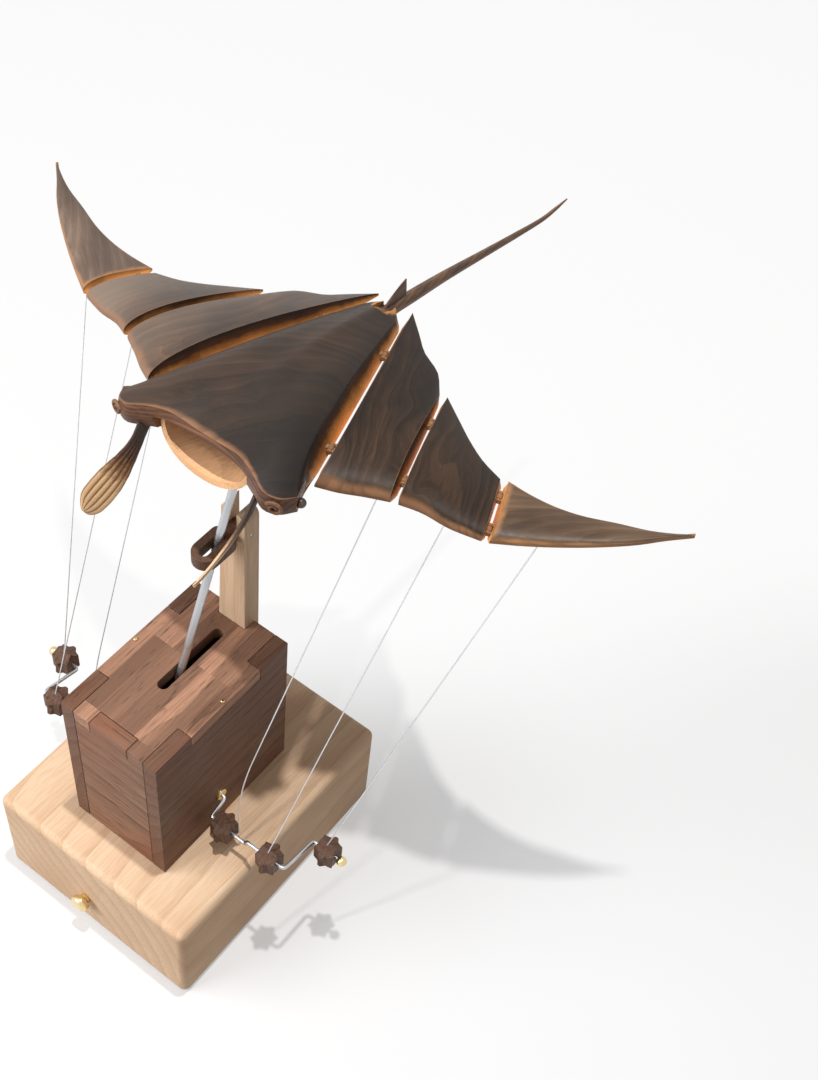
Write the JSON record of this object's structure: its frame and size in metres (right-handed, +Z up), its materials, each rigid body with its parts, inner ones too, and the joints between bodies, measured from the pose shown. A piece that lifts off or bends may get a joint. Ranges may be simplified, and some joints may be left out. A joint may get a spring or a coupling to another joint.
{
  "type": "wooden crank automaton",
  "caption": "Wooden manta ray automaton with hinged wing segments and a jointed tail on a leaning rod, flapped by wires from a bent crankshaft in a box on a block base.",
  "frame": {"origin": "on the underside of the base, in the middle plane of the manta and the box", "axes": "+Z up, the manta's head looks along -Y, +X towards the right wing of a viewer who stands in front"},
  "size_m": [0.4392, 0.4737, 0.3757],
  "materials": {
    "walnut": "oiled",
    "maple": "satin",
    "charred_wood": "satin",
    "wing_tip_wood": "satin",
    "pale_wood": "satin",
    "steel": "bright",
    "brass": "polished",
    "eye": "glossy"
  },
  "bodies": {
    "stand": {"base": "maple", "box_side_right": "walnut", "box_side_left": "walnut", "box_front": "walnut", "box_back": "walnut", "box_top": "walnut", "top_pin_right": "brass", "top_pin_left": "brass", "bush_right": "brass", "bush_left": "brass", "post": "maple", "link_pin": "steel"},
    "knob": {"base_knob": "brass", "knob_spindle": "steel"},
    "crank": {"crankshaft": "steel", "crank_ball_right": "brass", "crank_ball_left": "brass"},
    "crank_block": {"crank_block": "walnut"},
    "link": {"guide_link": "walnut"},
    "manta": {"lift_rod": "steel", "manta_body": "charred_wood", "lower_jaw": "pale_wood", "head_fin_right": "charred_wood", "head_fin_left": "charred_wood", "eye_right": "eye", "eye_left": "eye", "hinge_pin_right_inner_front": "brass", "hinge_pin_right_inner_rear": "brass", "hinge_pin_left_inner_front": "brass", "hinge_pin_left_inner_rear": "brass", "tail_pin": "steel"},
    "tail": {"tail": "charred_wood"},
    "star_right_1": {"star_block_right_1": "walnut", "wire_right_1": "steel"},
    "star_right_2": {"star_block_right_2": "walnut", "wire_right_2": "steel"},
    "star_right_3": {"star_block_right_3": "walnut", "wire_right_3": "steel"},
    "wing_right_inner": {"wing_right_inner": "charred_wood", "hinge_pin_right_middle_front": "brass", "hinge_pin_right_middle_rear": "brass"},
    "wing_right_middle": {"wing_right_middle": "charred_wood", "hinge_pin_right_tip_front": "brass", "hinge_pin_right_tip_rear": "brass"},
    "wing_right_tip": {"wing_right_tip": "wing_tip_wood"},
    "star_left_1": {"star_block_left_1": "walnut", "wire_left_1": "steel"},
    "star_left_2": {"star_block_left_2": "walnut", "wire_left_2": "steel"},
    "star_left_3": {"star_block_left_3": "walnut", "wire_left_3": "steel"},
    "wing_left_inner": {"wing_left_inner": "charred_wood", "hinge_pin_left_middle_front": "brass", "hinge_pin_left_middle_rear": "brass"},
    "wing_left_middle": {"wing_left_middle": "charred_wood", "hinge_pin_left_tip_front": "brass", "hinge_pin_left_tip_rear": "brass"},
    "wing_left_tip": {"wing_left_tip": "wing_tip_wood"}
  },
  "joints": [
    {"name": "crank_spin", "type": "hinge", "parent": "stand", "child": "crank", "pos_m": [0, -0.016, 0.105], "axis": [1, 0, 0], "continuous": true, "deforming": ["wire_right_1", "wire_right_2", "wire_right_3", "wire_left_1", "wire_left_2", "wire_left_3"]},
    {"name": "crank_block_turn", "type": "hinge", "parent": "crank", "child": "crank_block", "pos_m": [0, -0.03477, 0.11247], "axis": [1, 0, 0], "continuous": true},
    {"name": "star_turn_right_1", "type": "hinge", "parent": "crank", "child": "star_right_1", "pos_m": [0.051, -0.02991, 0.09938], "axis": [1, 0, 0], "continuous": true},
    {"name": "star_turn_right_2", "type": "hinge", "parent": "crank", "child": "star_right_2", "pos_m": [0.0874, -0.03099, 0.10552], "axis": [1, 0, 0], "continuous": true},
    {"name": "star_turn_right_3", "type": "hinge", "parent": "crank", "child": "star_right_3", "pos_m": [0.1096, -0.00241, 0.09866], "axis": [1, 0, 0], "continuous": true},
    {"name": "star_turn_left_1", "type": "hinge", "parent": "crank", "child": "star_left_1", "pos_m": [-0.051, -0.02991, 0.09938], "axis": [1, 0, 0], "continuous": true},
    {"name": "star_turn_left_2", "type": "hinge", "parent": "crank", "child": "star_left_2", "pos_m": [-0.0874, -0.03099, 0.10552], "axis": [1, 0, 0], "continuous": true},
    {"name": "star_turn_left_3", "type": "hinge", "parent": "crank", "child": "star_left_3", "pos_m": [-0.1096, -0.00241, 0.09866], "axis": [1, 0, 0], "continuous": true},
    {"name": "link_rock", "type": "hinge", "parent": "stand", "child": "link", "pos_m": [0, 0.04325, 0.279], "axis": [1, 0, 0], "range_deg": [0, 13]},
    {"name": "rod_lift", "type": "slide", "parent": "link", "child": "manta", "axis": [0, 0.3697, 0.9291], "range_m": [-0.0202, 0.0202]},
    {"name": "wing_right_inner_fold", "type": "hinge", "parent": "manta", "child": "wing_right_inner", "pos_m": [0.03168, 0.10752, 0.35565], "axis": [0.2927, -0.9547, 0.0544], "range_deg": [-14, 14]},
    {"name": "wing_right_middle_fold", "type": "hinge", "parent": "wing_right_inner", "child": "wing_right_middle", "pos_m": [0.07656, 0.09824, 0.35264], "axis": [0.3217, -0.9432, 0.0831], "range_deg": [-12, 12]},
    {"name": "wing_right_tip_fold", "type": "hinge", "parent": "wing_right_middle", "child": "wing_right_tip", "pos_m": [0.12903, 0.09208, 0.348], "axis": [0.3586, -0.9335, 0], "range_deg": [-10, 10]},
    {"name": "wing_left_inner_fold", "type": "hinge", "parent": "manta", "child": "wing_left_inner", "pos_m": [-0.03168, 0.10752, 0.35565], "axis": [0.2927, 0.9547, -0.0544], "range_deg": [-14, 14]},
    {"name": "wing_left_middle_fold", "type": "hinge", "parent": "wing_left_inner", "child": "wing_left_middle", "pos_m": [-0.07656, 0.09824, 0.35264], "axis": [0.3217, 0.9432, -0.0831], "range_deg": [-12, 12]},
    {"name": "wing_left_tip_fold", "type": "hinge", "parent": "wing_left_middle", "child": "wing_left_tip", "pos_m": [-0.12903, 0.09208, 0.348], "axis": [0.3586, 0.9335, 0], "range_deg": [-10, 10]},
    {"name": "tail_swing", "type": "hinge", "parent": "manta", "child": "tail", "pos_m": [0, 0.16644, 0.352], "axis": [1, 0, 0], "range_deg": [-8, 8]},
    {"name": "knob_turn", "type": "hinge", "parent": "stand", "child": "knob", "pos_m": [-0.009, -0.0985, 0.031], "axis": [0, 1, 0], "continuous": true}
  ],
  "couplings": [
    {"joint": "crank_block_turn", "follows": "crank_spin", "ratio": -1},
    {"joint": "star_turn_right_1", "follows": "crank_spin", "ratio": -1},
    {"joint": "star_turn_right_2", "follows": "crank_spin", "ratio": -1},
    {"joint": "star_turn_right_3", "follows": "crank_spin", "ratio": -1},
    {"joint": "star_turn_left_1", "follows": "crank_spin", "ratio": -1},
    {"joint": "star_turn_left_2", "follows": "crank_spin", "ratio": -1},
    {"joint": "star_turn_left_3", "follows": "crank_spin", "ratio": -1},
    {"joint": "wing_left_inner_fold", "follows": "wing_right_inner_fold", "ratio": 1},
    {"joint": "wing_left_middle_fold", "follows": "wing_right_middle_fold", "ratio": 1},
    {"joint": "wing_left_tip_fold", "follows": "wing_right_tip_fold", "ratio": 1}
  ]
}
